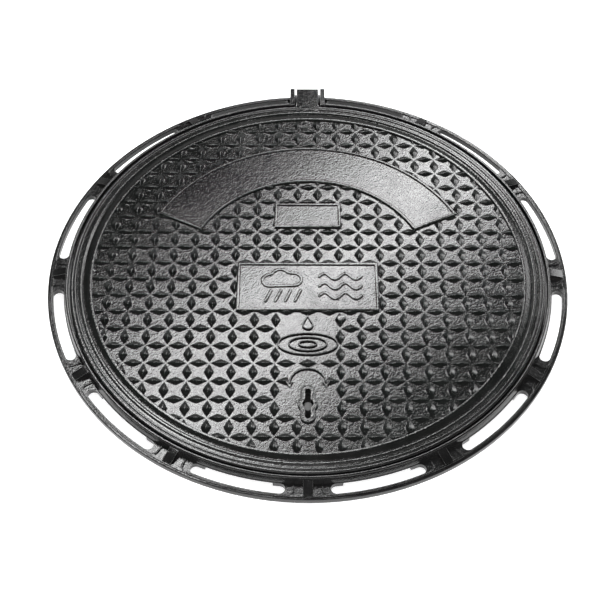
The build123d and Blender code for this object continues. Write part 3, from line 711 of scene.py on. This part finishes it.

# ---- Keyhole pieces ----------------------------------------------------------------
# Under the keyhole a steel rotor takes the key, and a sprung plug fills the round middle.
# Both sit in the dark of the hole and carry old grease and grit. A coil spring sits under the plug.

dress_nodes(painted_iron("greasy_rotor", (0.022, 0.021, 0.020), 0.34, 0.55, 0.00025, wear=0.8, dust=0.5),
            ["lock_rotor", "spring_cap"])
dress_nodes(painted_iron("dull_plug", (0.060, 0.060, 0.060), 0.38, 0.55, 0.00012, 900.0, wear=0.6, dust=0.5),
            ["dust_plug"])
coil_spring = link_mesh("coil_spring", nodes["plug_spring"].data.copy())
finish_piece(coil_spring, "lock", "spring_steel", blued_spring, "plug_spring")
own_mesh(coil_spring)

# ---- Lock under the lid ------------------------------------------------------------
# The lock's cup is cast and painted like the lid, and its bar, nut, bolts and washers are zinc plated.
# Zinc dulls to a soft grey with paler and darker clouds.


def plated_zinc(name):
    """Zinc plating: soft grey metal with clouded patches."""
    material, tree, shader = new_material(name)
    place = object_vector(tree)
    clouds = noise_node(tree, 120.0, 5.0, place, 0.65)
    tone = remap_node(tree, clouds, 0.3, 0.7, 0.0, 1.0)
    colour = mix_colour(tree, tone, (0.34, 0.35, 0.36), (0.56, 0.57, 0.58))
    tree.links.new(colour, shader.inputs["Base Color"])
    tree.links.new(remap_node(tree, clouds, 0.3, 0.7, 0.34, 0.55), shader.inputs["Roughness"])
    shader.inputs["Metallic"].default_value = 0.9
    tree.links.new(bump_node(tree, noise_node(tree, 1500.0, 2.0, place), 0.00003), shader.inputs["Normal"])
    return material


housing_paint = painted_iron("housing_paint", (0.014, 0.014, 0.014), 0.32, 0.48, 0.00035, dust=0.4)
lock_cup = rounded_casting("lock_cup", "lock_housing", 0.0008)
finish_piece(lock_cup, "cover", "housing_iron", housing_paint, "lock_housing")
dress_nodes(plated_zinc("zinc"), ["housing_bolts", "housing_washers", "lock_bar", "bar_washer", "bar_nut"])

# ---- Rubber seals ------------------------------------------------------------------
# A flat ring on the frame's seat stops the lid from rattling, and thin seals close the lock.
# All are black rubber with a matte skin.

dress_nodes(moulded("seal_rubber", (0.014, 0.014, 0.014), 0.6, 0.8, 1100.0, 0.00008),
            ["seat_gasket", "housing_gasket", "rotor_oring"])

# ---- Floor, light and camera -------------------------------------------------------
# A plain pale floor that glows a little, so that no hard shadow shows through the slots, and soft lamps.
# The paint mirrors a long lamp behind the lid, one at the right and one in front.


def make_floor():
    """A wide pale floor at the object's foot."""
    mesh = bpy.data.meshes.new("floor")
    shape = bmesh.new()
    bmesh.ops.create_grid(shape, x_segments=2, y_segments=2, size=12.0)
    shape.to_mesh(mesh)
    shape.free()
    floor = link_mesh("floor", mesh)
    floor.location = (0.0, 0.0, -0.0005)
    material, tree, shader = new_material("pale_floor")
    cloud = noise_node(tree, 3.0, 2.0, object_vector(tree))
    colour = mix_colour(tree, cloud, (0.84, 0.84, 0.84), (0.86, 0.86, 0.86))
    tree.links.new(colour, shader.inputs["Base Color"])
    shader.inputs["Roughness"].default_value = 0.9
    shader.inputs["Specular IOR Level"].default_value = 0.1
    shader.inputs["Emission Color"].default_value = (1.0, 1.0, 1.0, 1.0)
    shader.inputs["Emission Strength"].default_value = 0.75
    mesh.materials.append(material)
    return floor


def lamp(name, place, aim, size_x, size_y, power, turn=0.0, mirrored=True):
    """A soft rectangular lamp aimed at a point; it can be kept out of reflections."""
    data = bpy.data.lights.new(name, "AREA")
    data.shape = "RECTANGLE"
    data.size, data.size_y = size_x, size_y
    data.energy = power
    obj = bpy.data.objects.new(name, data)
    bpy.context.scene.collection.objects.link(obj)
    obj.location = place
    obj.rotation_mode = "QUATERNION"
    facing = (Vector(aim) - Vector(place)).to_track_quat("-Z", "Y")
    obj.rotation_quaternion = facing
    obj.rotation_mode = "XYZ"
    obj.rotation_euler.rotate_axis("Z", turn)
    obj.visible_glossy = mirrored
    return obj


make_floor()
lamp("long_lamp", (0.10, 2.45, 3.0), (0.10, 2.45, 0.0), 3.2, 0.5, 90.0, math.radians(50))
lamp("wide_lamp", (0.05, 2.3, 3.1), (0.05, 2.3, 0.0), 3.4, 1.4, 3.0, math.radians(50))
lamp("near_lamp", (0.0, -3.0, 2.5), (0.0, 0.0, 0.0), 3.0, 0.8, 26.0)
lamp("right_lamp", (2.6, 2.3, 2.2), (0.0, 0.0, 0.0), 1.5, 1.5, 38.0)
lamp("front_lamp", (0.0, -4.2, 1.5), (0.0, 0.0, 0.0), 7.0, 2.4, 120.0, mirrored=False)
lamp("top_lamp", (0.0, -0.5, 4.0), (0.0, 0.0, 0.0), 5.0, 5.0, 130.0, mirrored=False)

world = bpy.data.worlds.new("studio")
world.use_nodes = True
sky = world.node_tree
sky.nodes["Background"].inputs["Color"].default_value = (1.0, 1.0, 1.0, 1.0)
rise = sky.nodes.new("ShaderNodeSeparateXYZ")
sky.links.new(sky.nodes.new("ShaderNodeTexCoord").outputs["Generated"], rise.inputs[0])
glow = remap_node(sky, rise.outputs["Z"], 0.42, 0.62, 0.45, 0.02)    # brighter near the horizon
sky.links.new(glow, sky.nodes["Background"].inputs["Strength"])
bpy.context.scene.world = world
bpy.context.scene.view_settings.view_transform = "Standard"

camera_data = bpy.data.cameras.new("camera")
camera_data.sensor_width = 36.0
camera_data.lens = 81.97
camera_data.clip_start, camera_data.clip_end = 0.05, 50.0
camera = bpy.data.objects.new("camera", camera_data)
bpy.context.scene.collection.objects.link(camera)
camera.location = (-0.0108, -1.350, 1.663)
camera.rotation_euler = (math.radians(38.59), math.radians(-0.07), math.radians(0.13))
bpy.context.scene.camera = camera
